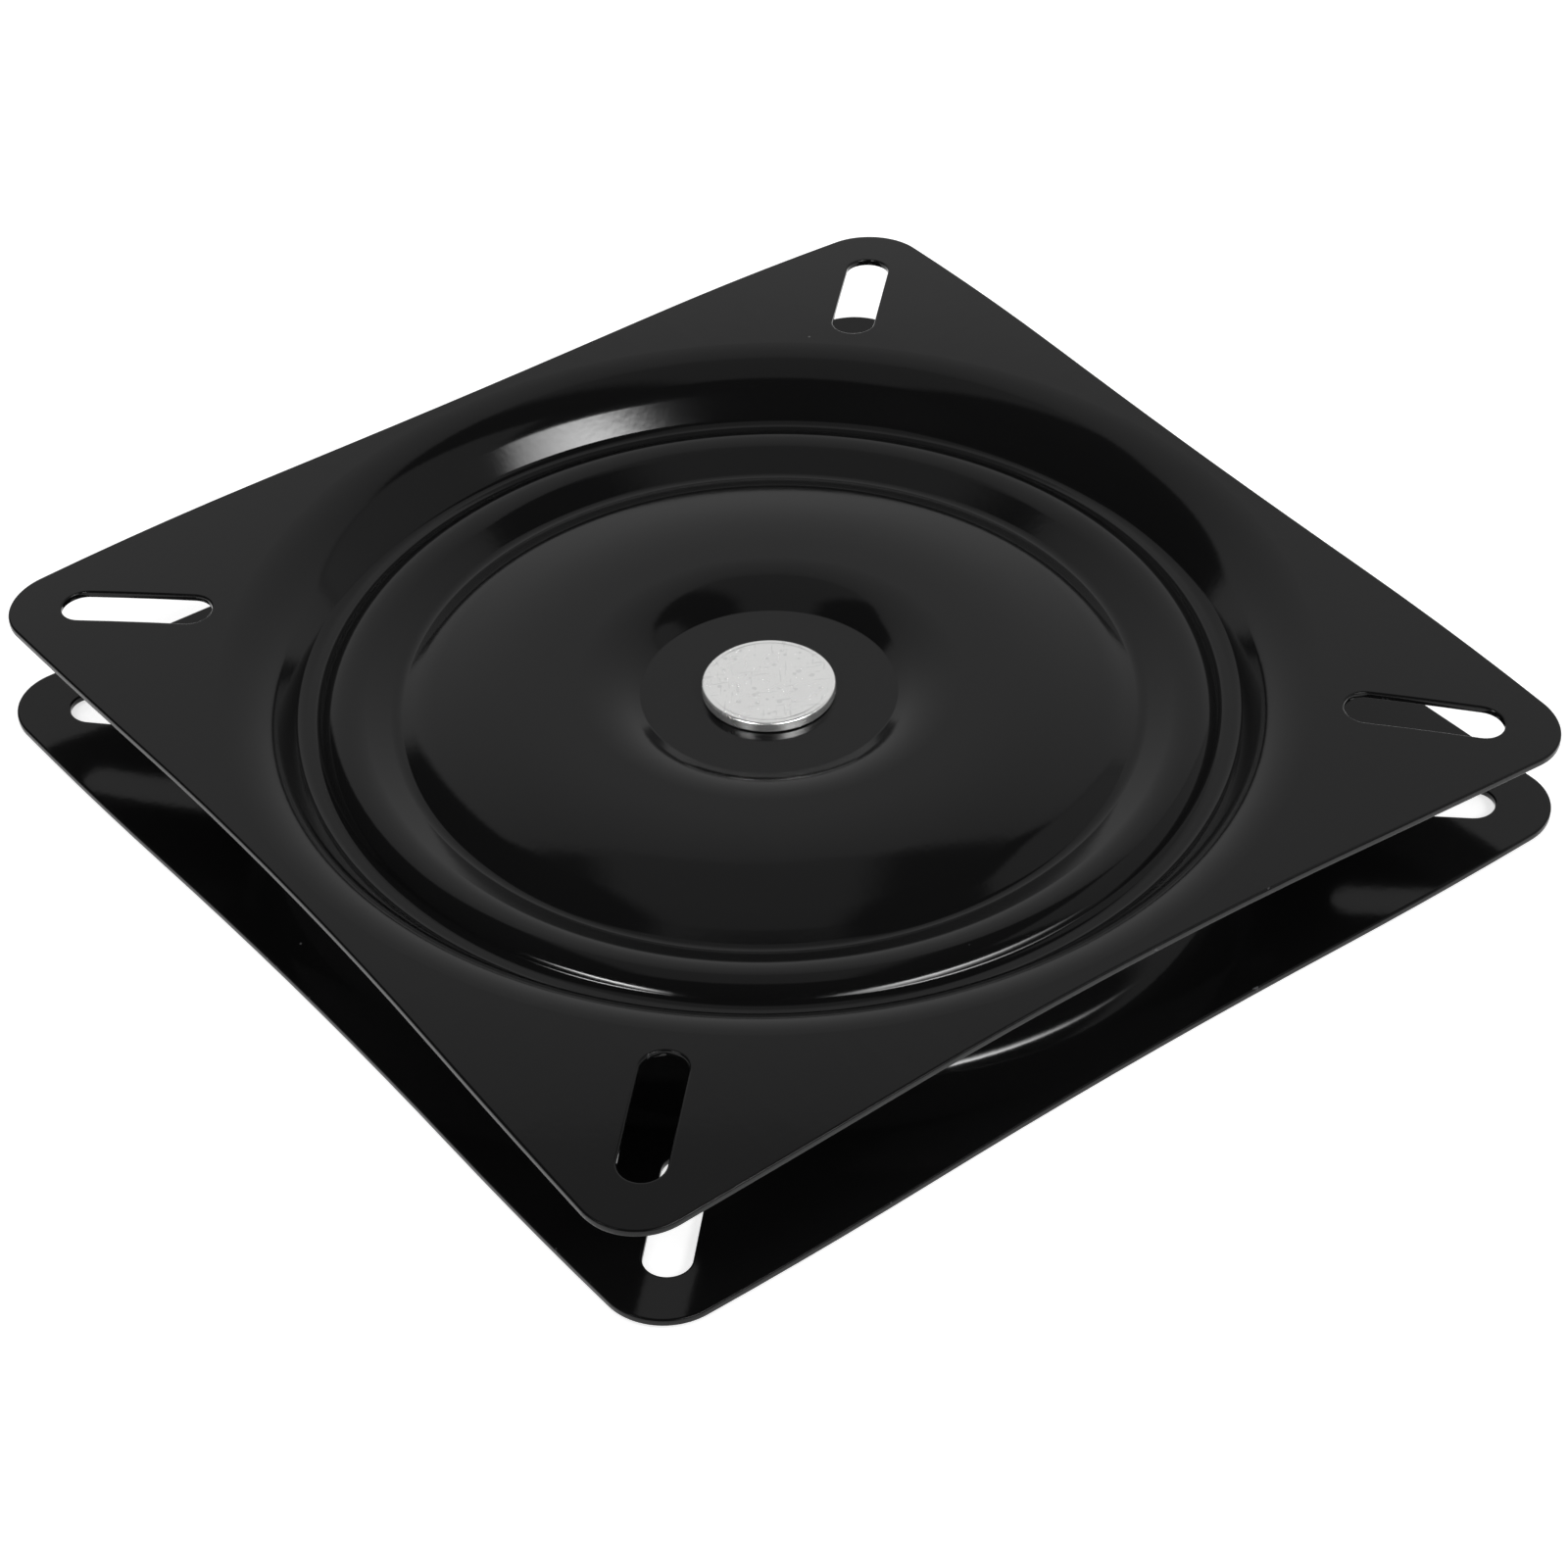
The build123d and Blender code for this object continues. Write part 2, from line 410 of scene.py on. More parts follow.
@dataclass(frozen=True)
class GlossPaint:
    """Gloss black stoved paint with a faint orange peel, dust specks and chipped edges.

    Attributes:
        colour: Colour of the clean paint.
        chip_colour: Colour of the bare steel in chips along the edges.
        dust_colour: Colour of dust specks.
        roughness: Roughness of the clean paint.
        smudge_gain: Roughness that smudges add.
        wear_gain: Roughness that chips and dust add.
        ior: Index of refraction, which sets how much it mirrors.
        peel_strength: Strength of the orange peel.
        peel_depth: Depth of the orange peel.
    """

    colour: RGB = (0.005, 0.005, 0.0051)
    chip_colour: RGB = (0.22, 0.22, 0.23)
    dust_colour: RGB = (0.1, 0.1, 0.1)
    roughness: float = 0.09
    smudge_gain: float = 0.02
    wear_gain: float = 0.35
    ior: float = 1.32
    peel_strength: float = 0.02
    peel_depth: float = 0.2 * MM

    def material(self, effects: Effects) -> bpy.types.Material:
        """Builds the paint."""
        made = bpy.data.materials.new("gloss_black_paint")
        made.use_nodes = True
        graph = Graph(made.node_tree)
        where = graph.add("ShaderNodeTexCoord").outputs["Object"]
        rim = graph.add("ShaderNodeAttribute", attribute_name="rim").outputs["Fac"]
        worn = effects.place(graph, Effect.CLOUDS, where, Scale=420.0, Detail=4.0, Low=0.68, High=0.74)
        patch = effects.place(graph, Effect.CLOUDS, where, Scale=23.0, Detail=1.0, Low=0.5, High=0.6)
        chips = graph.math("MULTIPLY", graph.math("MULTIPLY", rim, worn), patch)
        dust = effects.place(graph, Effect.SPECKS, where, Scale=260.0, Share=0.02, Radius=0.08)
        smudge = effects.place(graph, Effect.CLOUDS, where, Scale=34.0, Detail=3.0, Low=0.35, High=0.75)
        peel = effects.place(graph, Effect.CLOUDS, where, Scale=640.0, Detail=1.0, Low=0.0, High=1.0)
        bare = graph.mix(chips, rgba(self.colour), rgba(self.chip_colour))
        colour = graph.mix(dust, bare, rgba(self.dust_colour))
        wear = graph.math("MAXIMUM", chips, dust)
        rough = graph.math("ADD", graph.math("MULTIPLY", smudge, self.smudge_gain), self.roughness)
        rough = graph.math("ADD", rough, graph.math("MULTIPLY", wear, self.wear_gain))
        bump = graph.add("ShaderNodeBump")
        graph.feed(bump, Strength=self.peel_strength, Distance=self.peel_depth, Height=peel)
        shader = graph.add("ShaderNodeBsdfPrincipled")
        graph.feed(shader, Base_Color=colour, Roughness=rough, Metallic=chips, IOR=self.ior)
        graph.feed(shader, Normal=bump.outputs[0])
        out = graph.add("ShaderNodeOutputMaterial")
        graph.feed(out, Surface=shader.outputs[0])
        return made


@dataclass(frozen=True)
class PlainMetal:
    """Bare or plated metal with fine pits, hairline scuffs and cloudy gloss.

    Attributes:
        name: Name of the material.
        colour: Colour of the clean metal.
        dull: Colour in the pits and scuffs.
        roughness: Roughness of the clean metal.
        spread: Roughness that the clouds add.
        metallic: Share of bare metal, less under a dull plating.
        pit_share: How far the colour turns dull in the pits.
        scuff_share: How far the colour turns dull in the scuffs.
        mark_strength: Strength of the pits and scuffs as relief.
        mark_depth: Depth of the pits and scuffs.
    """

    name: str
    colour: RGB
    dull: RGB
    roughness: float
    spread: float
    metallic: float = 1.0
    pit_share: float = 0.5
    scuff_share: float = 0.4
    mark_strength: float = 0.25
    mark_depth: float = 0.1 * MM

    def material(self, effects: Effects) -> bpy.types.Material:
        """Builds the metal."""
        made = bpy.data.materials.new(self.name)
        made.use_nodes = True
        graph = Graph(made.node_tree)
        where = graph.add("ShaderNodeTexCoord").outputs["Object"]
        pits = effects.place(graph, Effect.SPECKS, where, Scale=900.0, Share=0.25, Radius=0.5)
        scuffs = effects.place(graph, Effect.HAIRLINES, where, Scale=240.0, Stretch=9.0, Level=0.67)
        cloud = effects.place(graph, Effect.CLOUDS, where, Scale=180.0, Detail=3.0, Low=0.3, High=0.75)
        pits = graph.math("MULTIPLY", pits, self.pit_share)
        scuffs = graph.math("MULTIPLY", scuffs, self.scuff_share)
        marks = graph.math("MAXIMUM", pits, scuffs)
        rough = graph.math("ADD", graph.math("MULTIPLY", cloud, self.spread), self.roughness)
        bump = graph.add("ShaderNodeBump", invert=True)
        graph.feed(bump, Strength=self.mark_strength, Distance=self.mark_depth, Height=marks)
        shader = graph.add("ShaderNodeBsdfPrincipled")
        colour = graph.mix(marks, rgba(self.colour), rgba(self.dull))
        graph.feed(shader, Base_Color=colour, Roughness=rough)
        graph.feed(shader, Metallic=self.metallic, Normal=bump.outputs[0])
        out = graph.add("ShaderNodeOutputMaterial")
        graph.feed(out, Surface=shader.outputs[0])
        return made


@dataclass(frozen=True)
class MouldedPlastic:
    """Moulded plastic with a fine grain and a slightly uneven colour.

    Attributes:
        name: Name of the material.
        colour: Main colour.
        shade: Colour of the darker patches.
        roughness: Roughness of the moulded face.
        patch_gain: Roughness that the darker patches add.
        grain_strength: Strength of the grain.
        grain_depth: Depth of the grain.
    """

    name: str
    colour: RGB
    shade: RGB
    roughness: float
    patch_gain: float = 0.1
    grain_strength: float = 0.2
    grain_depth: float = 0.1 * MM

    def material(self, effects: Effects) -> bpy.types.Material:
        """Builds the plastic."""
        made = bpy.data.materials.new(self.name)
        made.use_nodes = True
        graph = Graph(made.node_tree)
        where = graph.add("ShaderNodeTexCoord").outputs["Object"]
        clouds = Effect.CLOUDS
        patches = effects.place(graph, clouds, where, Scale=160.0, Detail=3.0, Low=0.35, High=0.7)
        grain = effects.place(graph, clouds, where, Scale=2600.0, Detail=2.0, Low=0.3, High=0.7)
        rough = graph.math("ADD", graph.math("MULTIPLY", patches, self.patch_gain), self.roughness)
        bump = graph.add("ShaderNodeBump")
        graph.feed(bump, Strength=self.grain_strength, Distance=self.grain_depth, Height=grain)
        shader = graph.add("ShaderNodeBsdfPrincipled")
        colour = graph.mix(patches, rgba(self.colour), rgba(self.shade))
        graph.feed(shader, Base_Color=colour, Roughness=rough, Normal=bump.outputs[0])
        out = graph.add("ShaderNodeOutputMaterial")
        graph.feed(out, Surface=shader.outputs[0])
        return made


@dataclass
class PressedPlate:
    """Square pressed plate with diagonal slots and a round pressing in its middle.

    Attributes:
        name: Name of the piece.
        node: CAD node that it stands for.
        body: Body that it rides on.
        corners: Corners of the pressing's section along its upper face, from the mouth inwards.
        turn: Angle by which the plate stands turned at rest, in degrees.
        sag: Drop of the flange's corner tips below its mouth.
    """

    name: str
    node: str
    body: Body
    corners: list[Corner]
    turn: float
    sag: float
    sag_power: float = 1.5
    cell: float = 5.0 * MM
    snap: float = 0.2 * MM
    weld: float = 0.001 * MM
    side: float = 200.0 * MM
    thickness: float = 1.4 * MM
    corner_r: float = 11.0 * MM
    draw_in: float = 1.7 * MM
    edge_r: float = 0.35 * MM
    border: float = 0.45 * MM
    slot_inset: float = 19.75 * MM
    slot_length: float = 27.5 * MM
    slot_width: float = 8.0 * MM
    spin_steps: int = 256
    sharp_angle: float = 50.0
    edge_segments: int = 3
    side_step: float = 0.5
    corner_step: float = 4.0
    slot_step: float = 7.5

    @property
    def face_z(self) -> float:
        """Height of the flange's upper face."""
        return self.corners[0].z

    @property
    def mouth_r(self) -> float:
        """Radius where the flange ends and the pressing starts."""
        return self.corners[0].r

    def draw_outline(self, bm: bmesh.types.BMesh) -> None:
        """Draws the square outline, each side curving gently inwards to its middle."""
        half_span = self.side / 2 - self.corner_r
        turn = 2 * math.atan(self.draw_in / half_span)
        side_r = half_span / 2 / math.sin(turn)
        pen = WirePen(bm, bm.verts.new((-half_span, -self.side / 2, self.face_z)), UP)
        heading = Vector((1.0, 0.0, 0.0))
        for _ in range(4):
            for radius, angle, step in (
                (side_r, turn, self.side_step),
                (side_r, -2 * turn, self.side_step),
                (side_r, turn, self.side_step),
                (self.corner_r, math.pi / 2, self.corner_step),
            ):
                pen.arc_step = step
                pen.arc(pen.tip.co + UP.cross(heading) * math.copysign(radius, angle), angle)
                heading.rotate(Matrix.Rotation(angle, 3, UP))

    def draw_slot(self, bm: bmesh.types.BMesh, angle: float) -> None:
        """Draws one slot that lies along a diagonal.

        Args:
            bm: Mesh to draw in.
            angle: Direction of the diagonal, in radians.
        """
        turn = Matrix.Rotation(angle, 3, UP)
        middle = (self.side / 2 - self.slot_inset) * math.sqrt(2)
        half_w = self.slot_width / 2
        half_run = self.slot_length / 2 - half_w
        inner = turn @ Vector((middle - half_run, 0.0, self.face_z))
        outer = turn @ Vector((middle + half_run, 0.0, self.face_z))
        across = turn @ Vector((0.0, half_w, 0.0))
        pen = WirePen(bm, bm.verts.new(outer - across), UP, arc_step=self.slot_step)
        pen.arc(outer, math.pi)
        pen.line_to(inner + across)
        pen.arc(inner, math.pi)
        pen.line_to(outer - across)

    def fill_flange(self, bm: bmesh.types.BMesh) -> None:
        """Fills the flange between the outline, the slots and the mouth."""
        mouth = [e for e in bm.edges if e.is_boundary and e.verts[0].co.xy.length > self.corners[1].r]
        drawn = [e for e in bm.edges if e.is_wire]
        bmesh.ops.triangle_fill(bm, use_beauty=True, edges=[*mouth, *drawn], normal=UP)

    def cut_cells(self, bm: bmesh.types.BMesh) -> None:
        """Cuts the flange into small cells, so that it can bend."""
        reach = self.mouth_r - self.weld
        flange = [f for f in bm.faces if min(v.co.xy.length for v in f.verts) > reach]
        geom = [*flange, *{e for f in flange for e in f.edges}, *{v for f in flange for v in f.verts}]
        lines = int(self.side / 2 / self.cell)
        for across in (Vector((1.0, 0.0, 0.0)), Vector((0.0, 1.0, 0.0))):
            for line in range(-lines, lines + 1):
                place = across * line * self.cell
                made = bmesh.ops.bisect_plane(
                    bm, geom=geom, dist=self.snap, plane_co=place, plane_no=across
                )
                geom = made["geom"]

    def bend_corners(self, bm: bmesh.types.BMesh) -> None:
        """Bends the corners of the flange down, or up where the sag is negative."""
        tip_r = (self.side / 2 - self.corner_r) * math.sqrt(2) + self.corner_r
        for vert in bm.verts:
            share = (vert.co.xy.length - self.mouth_r) / (tip_r - self.mouth_r)
            if share > 0.0:
                vert.co.z -= self.sag * share**self.sag_power

    def build(self) -> bpy.types.Object:
        """Builds the plate and hides its CAD node.

        Returns:
            The finished piece.
        """
        bm = bmesh.new()
        rim = bm.verts.layers.float.new("rim")
        self.draw_outline(bm)
        for quarter in range(4):
            self.draw_slot(bm, math.radians(45.0 + 90.0 * quarter))
        spin_section(bm, self.corners, self.spin_steps)
        bmesh.ops.remove_doubles(bm, verts=bm.verts[:], dist=self.weld)
        self.fill_flange(bm)
        bmesh.ops.recalc_face_normals(bm, faces=bm.faces[:])
        if sum(f.normal.z * f.calc_area() for f in bm.faces) < 0.0:
            bmesh.ops.reverse_faces(bm, faces=bm.faces[:])
        bmesh.ops.inset_region(
            bm, faces=bm.faces[:], use_boundary=True, use_even_offset=True, thickness=self.border
        )
        self.cut_cells(bm)
        bmesh.ops.solidify(bm, geom=bm.faces[:], thickness=self.thickness)
        sharp = [e for e in bm.edges if e.calc_face_angle(0.0) > math.radians(self.sharp_angle)]
        made = bmesh.ops.bevel(
            bm,
            geom=sharp,
            offset=self.edge_r,
            segments=self.edge_segments,
            profile=0.5,
            affect="EDGES",
            material=-1,
            loop_slide=True,
        )
        for face in made["faces"]:
            for vert in face.verts:
                vert[rim] = 1.0
        self.bend_corners(bm)
        turn = Matrix.Rotation(math.radians(self.turn), 3, UP)
        bmesh.ops.rotate(bm, cent=(0.0, 0.0, 0.0), matrix=turn, verts=bm.verts[:])
        piece = finish_mesh(bm, self.name)
        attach(piece, self.body.value)
        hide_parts(self.node)
        return piece


@dataclass(frozen=True)
class DishSection:
    """Section of the top plate's dish along its upper face, from the mouth inwards.

    The face's height is the frame's. Depths are below it, and angles are from the level.
    """

    face_z: float
    mouth_r: float = 95.5 * MM
    roll_r: float = 12.7 * MM
    wall_angle: float = 52.0
    gutter_depth: float = 9.3 * MM
    gutter_w: float = 3.1 * MM
    ridge_depth: float = 6.4 * MM
    ridge_outer_angle: float = 50.0
    ridge_outer_r: float = 5.9 * MM
    ridge_inner_angle: float = 25.5
    ridge_inner_r: float = 7.8 * MM
    groove_depth: float = 9.6 * MM
    groove_bend: float = 2.4 * MM
    flank_angle: float = 26.0
    flank_rise: float = 2.4 * MM
    shoulder_bend: float = 20.0 * MM
    dome_angle: float = 13.9
    dome_r: float = 70.0 * MM
    crest_depth: float = 4.0 * MM
    crest_bend: float = 18.0 * MM
    pad_wall_angle: float = 30.0
    pad_depth: float = 7.6 * MM
    pad_r: float = 22.6 * MM
    pad_bend: float = 0.5 * MM
    bend_r: float = 2.3 * MM
    hole_r: float = 5.08 * MM

    def corners(self) -> list[Corner]:
        """Works out the corners of the section."""
        face = self.face_z
        gutter_z, ridge_z = face - self.gutter_depth, face - self.ridge_depth
        groove_z = face - self.groove_depth
        crest_z, pad_z = face - self.crest_depth, face - self.pad_depth
        roll = self.mouth_r - self.roll_r * math.tan(math.radians(self.wall_angle / 2))
        gutter_out = roll - run_of(self.gutter_depth, self.wall_angle)
        gutter_in = gutter_out - self.gutter_w
        ridge_out = gutter_in - run_of(ridge_z - gutter_z, self.ridge_outer_angle)
        crest = ridge_out - self.ridge_outer_r * math.tan(math.radians(self.ridge_outer_angle / 2))
        ridge_in = crest - self.ridge_inner_r * math.tan(math.radians(self.ridge_inner_angle / 2))
        groove = ridge_in - run_of(ridge_z - groove_z, self.ridge_inner_angle)
        shoulder = groove - run_of(self.flank_rise, self.flank_angle)
        shoulder_z = groove_z + self.flank_rise
        crown = shoulder - run_of(crest_z - shoulder_z, self.dome_angle)
        dome_in = self.pad_r + run_of(crest_z - pad_z, self.pad_wall_angle)
        return [
            Corner(self.mouth_r, face),
            Corner(roll, face, self.roll_r),
            Corner(gutter_out, gutter_z, self.bend_r),
            Corner(gutter_in, gutter_z, self.bend_r),
            Corner(ridge_out, ridge_z, self.ridge_outer_r),
            Corner(ridge_in, ridge_z, self.ridge_inner_r),
            Corner(groove, groove_z, self.groove_bend),
            Corner(shoulder, shoulder_z, self.shoulder_bend),
            Corner(crown, crest_z, self.dome_r),
            Corner(dome_in, crest_z, self.crest_bend),
            Corner(self.pad_r, pad_z, self.pad_bend),
            Corner(self.hole_r, pad_z),
        ]


@dataclass(frozen=True)
class RiseSection:
    """Section of the bottom plate's rise along its upper face, from the mouth inwards.

    The rise follows the dish above it, and the ball track and the seat are at the frame's heights.
    """

    dish: DishSection
    sheet: float = 1.4 * MM
    nest_gap: float = 1.4 * MM
    rim_w: float = 2.2 * MM
    rim_bend: float = 2.2 * MM
    ball_play: float = 0.1 * MM
    track_w: float = 5.0 * MM
    track_bend: float = 4.0 * MM
    lip_w: float = 2.6 * MM
    cone_r: float = 56.8 * MM
    cone_angle: float = 27.0
    hole_r: float = 5.05 * MM

    def corners(self) -> list[Corner]:
        """Works out the corners of the section."""
        dish = self.dish
        rim_z = dish.face_z - dish.gutter_depth - self.sheet - self.nest_gap
        shelf_z = dish.face_z - dish.groove_depth - self.sheet - self.nest_gap
        seat_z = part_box("thrust_washer")[0].z
        ball_low, ball_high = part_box("ball_01")
        race_r = (ball_low.x + ball_high.x) / 2
        track_z = ball_low.z - self.ball_play
        roll_r = dish.roll_r - self.sheet
        roll = dish.mouth_r - roll_r * math.tan(math.radians(dish.wall_angle / 2))
        rim_out = roll - run_of(rim_z - self.sheet, dish.wall_angle)
        track_in = race_r - self.track_w / 2
        cone_in = self.cone_r - run_of(seat_z - shelf_z, self.cone_angle)
        return [
            Corner(dish.mouth_r, self.sheet),
            Corner(roll, self.sheet, roll_r),
            Corner(rim_out, rim_z, self.rim_bend),
            Corner(rim_out - self.rim_w, rim_z, self.rim_bend),
            Corner(race_r + self.track_w / 2, track_z, self.track_bend),
            Corner(track_in, track_z, self.track_bend),
            Corner(track_in - self.lip_w, shelf_z, self.rim_bend),
            Corner(self.cone_r, shelf_z, self.rim_bend),
            Corner(cone_in, seat_z, self.rim_bend),
            Corner(self.hole_r, seat_z),
        ]


@dataclass
class Rivet:
    """Pivot rivet: flat head with a rolled edge and a faint pressed ring, shank and peened tail."""

    head_t: float = 2.0 * MM
    edge_r: float = 0.55 * MM
    ring_share: float = 0.92
    ring_w: float = 0.3 * MM
    ring_depth: float = 0.05 * MM
    shank_r: float = 5.0 * MM
    tail_r: float = 8.5 * MM
    tail_edge: float = 0.9 * MM
    weld: float = 0.001 * MM
    spin_steps: int = 128

    def corners(self) -> list[Corner]:
        """Works out the corners of the section, from the head's middle round to the tail's."""
        low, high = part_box("pivot_rivet")
        head_r, head_z = high.x, high.z - self.head_t
        tail_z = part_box("tail_washer")[0].z
        ring = head_r * self.ring_share
        soft = self.ring_w / 2
        return [
            Corner(0.0, high.z),
            Corner(ring - self.ring_w, high.z, soft),
            Corner(ring - self.ring_w / 2, high.z - self.ring_depth, soft),
            Corner(ring, high.z, soft),
            Corner(head_r, high.z, self.edge_r),
            Corner(head_r, head_z, self.edge_r / 2),
            Corner(self.shank_r, head_z, self.edge_r / 2),
            Corner(self.shank_r, tail_z, self.edge_r / 2),
            Corner(self.tail_r, tail_z, self.edge_r / 2),
            Corner(self.tail_r, tail_z - self.tail_edge, self.edge_r),
            Corner(self.tail_r / 2, low.z, self.tail_r),
            Corner(0.0, low.z),
        ]

    def build(self) -> bpy.types.Object:
        """Builds the rivet and hides its CAD node.

        Returns:
            The finished piece.
        """
        bm = bmesh.new()
        spin_section(bm, self.corners(), self.spin_steps)
        bmesh.ops.remove_doubles(bm, verts=bm.verts[:], dist=self.weld)
        bmesh.ops.recalc_face_normals(bm, faces=bm.faces[:])
        piece = finish_mesh(bm, "rivet")
        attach(piece, Body.BOTTOM.value)
        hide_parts("pivot_rivet")
        return piece


@dataclass(frozen=True)
class Lamp:
    """Soft box that points at the part.

    Attributes:
        name: Name of the lamp.
        bearing: Direction of the lamp from the part, in degrees right of the camera's heading.
        rise: Height of the lamp above the level, in degrees.
        distance: Distance from the part.
        width: Width of the box.
        height: Height of the box.
        radiance: Brightness of the box's face.
    """

    name: str
    bearing: float
    rise: float
    distance: float
    width: float
    height: float
    radiance: float


@dataclass(frozen=True)
class Card:
    """White card that shows only in the gloss of the part.

    Attributes:
        name: Name of the card.
        middle: Middle of the card, as steps to the right, away from the camera and up.
        half_width: Half of its width.
        half_height: Half of its height, which lies along its tilt.
        level: Brightness of the card.
        tilt: Turn of the card from upright towards level, in degrees.
        bearing: Direction that its back faces, in degrees right of the camera's heading.
        foot: Share of its brightness that its lower edge has.
        head: Share of its brightness that its upper edge has.
        knee: Share of its height at which it is brightest.
        soft: Width of its soft edges.
    """

    name: str
    middle: tuple[float, float, float]
    half_width: float
    half_height: float
    level: float
    tilt: float = 0.0
    bearing: float = 0.0
    # foot: Share of its brightness that its lower edge has; below one it paints shade along the foot.
    foot: float = 1.0
    head: float = 1.0
    knee: float = 0.5
    soft: float = 0.02


def grey(level: float) -> tuple[float, float, float, float]:
    """Neutral colour of a level."""
    return rgba((level, level, level))


@dataclass
class Studio:
    """White floor, cards that the gloss mirrors, two soft lamps and the camera.

    Lengths are in metres. White cards stand behind, to the right of and above the part, and two bright ones
    give the highlights. The rest of the room is dark in the gloss, as the photograph's reflections are.
    """

    camera_at: Vector = field(default_factory=lambda: Vector((-0.3587, -0.4846, CAD_BOX[1].z + 0.4828)))
    azimuth: float = -36.72
    elevation: float = 40.339
    roll: float = -1.394
    lens: float = 101.895
    sensor: float = 36.0
    floor_size: float = 3.0
    floor_drop: float = 0.3 * MM
    floor_colour: float = 0.8
    floor_glow: float = 0.7
    room_gloss: float = 0.035
    room_fill: float = 0.6
    clip_start: float = 0.01
    lamps: tuple[Lamp, ...] = (
        Lamp("right_softbox", bearing=135.0, rise=40.0, distance=1.5, width=0.4, height=0.4, radiance=9.0),
        Lamp("left_softbox", bearing=-140.0, rise=50.0, distance=1.5, width=0.4, height=0.4, radiance=5.0),
    )
    cards: tuple[Card, ...] = (
        Card(
            "back_card",
            middle=(0.03, 0.234, 0.255),
            half_width=0.33,
            half_height=0.255,
            level=0.61,
            # Painted shade: the back card dims to a tenth at its foot, standing in for the part's shadow on
            # the floor behind it.
            foot=0.1,
            head=0.85,
            knee=0.2,
            soft=0.04,
        ),
        Card(
            "right_card",
            middle=(0.33, 0.06, 0.3),
            half_width=0.2,
            half_height=0.3,
            level=0.5,
            bearing=90.0,
            soft=0.06,
        ),
        Card(
            "ceiling_card",
            middle=(-0.033, 0.088, 0.47),
            half_width=0.138,
            half_height=0.202,
            level=0.42,
            tilt=90.0,
            soft=0.05,
        ),
        Card(
            "right_glow",
            middle=(0.398, -0.466, 0.514),
            half_width=0.4,
            half_height=0.4,
            level=34.0,
            tilt=40.0,
            bearing=139.5,
            soft=0.4,
        ),
        Card(
            "left_glow",
            middle=(-0.163, -0.213, 0.185),
            half_width=0.08,
            half_height=0.07,
            level=60.0,
            tilt=40.0,
            bearing=-143.0,
            soft=0.07,
        ),
    )

    @property
    def heading(self) -> Matrix:
        """Turn from right, away and up to the part's axes."""
        return Matrix.Rotation(math.radians(self.azimuth), 4, "Z")

    def add_camera(self) -> None:
        """Places the camera at the photograph's angle."""
        data = bpy.data.cameras.new("camera")
        data.lens = self.lens
        data.sensor_width = self.sensor
        data.clip_start = self.clip_start
        camera = bpy.data.objects.new("camera", data)
        tilt = Matrix.Rotation(math.radians(90.0 - self.elevation), 4, "X")
        roll = Matrix.Rotation(math.radians(self.roll), 4, "Z")
        camera.matrix_world = Matrix.Translation(self.camera_at) @ self.heading @ tilt @ roll
        bpy.context.scene.collection.objects.link(camera)
        bpy.context.scene.camera = camera

    @staticmethod
    def add_sheet(name: str, size: float) -> tuple[bpy.types.Object, Graph]:
        """Makes one flat square of the stage with an empty material.

        Args:
            name: Name of the sheet.
            size: Half of its side.

        Returns:
            The sheet and the graph of its material.
        """
        bm = bmesh.new()
        bmesh.ops.create_grid(bm, x_segments=1, y_segments=1, size=size)
        mesh = bpy.data.meshes.new(name)
        bm.to_mesh(mesh)
        bm.free()
        sheet = bpy.data.objects.new(name, mesh)
        bpy.context.scene.collection.objects.link(sheet)
        made = bpy.data.materials.new(name)
        made.use_nodes = True
        mesh.materials.append(made)
        return sheet, Graph(made.node_tree)

    def add_floor(self) -> None:
        """Makes a white floor that keeps a soft shadow and is clear from below."""
        floor, graph = self.add_sheet("floor", self.floor_size)
        floor.location.z = -self.floor_drop
        paths = graph.add("ShaderNodeLightPath")
        seen = graph.math("MAXIMUM", paths.outputs["Is Camera Ray"], paths.outputs["Is Glossy Ray"])
        seen = graph.math("MAXIMUM", seen, paths.outputs["Is Transmission Ray"])
        diffuse = graph.add("ShaderNodeBsdfDiffuse")
        graph.feed(diffuse, Color=grey(self.floor_colour))
        glow = graph.add("ShaderNodeEmission")
        graph.feed(glow, Strength=graph.math("MULTIPLY", seen, self.floor_glow))
        both = graph.add("ShaderNodeAddShader")
        graph.feed(both, _0=diffuse.outputs[0], _1=glow.outputs[0])
        clear = graph.add("ShaderNodeBsdfTransparent")
        facing = graph.add("ShaderNodeNewGeometry").outputs["Backfacing"]
        mixed = graph.add("ShaderNodeMixShader")
        graph.feed(mixed, _0=facing, _1=both.outputs[0], _2=clear.outputs[0])
        graph.feed(graph.add("ShaderNodeOutputMaterial"), Surface=mixed.outputs[0])

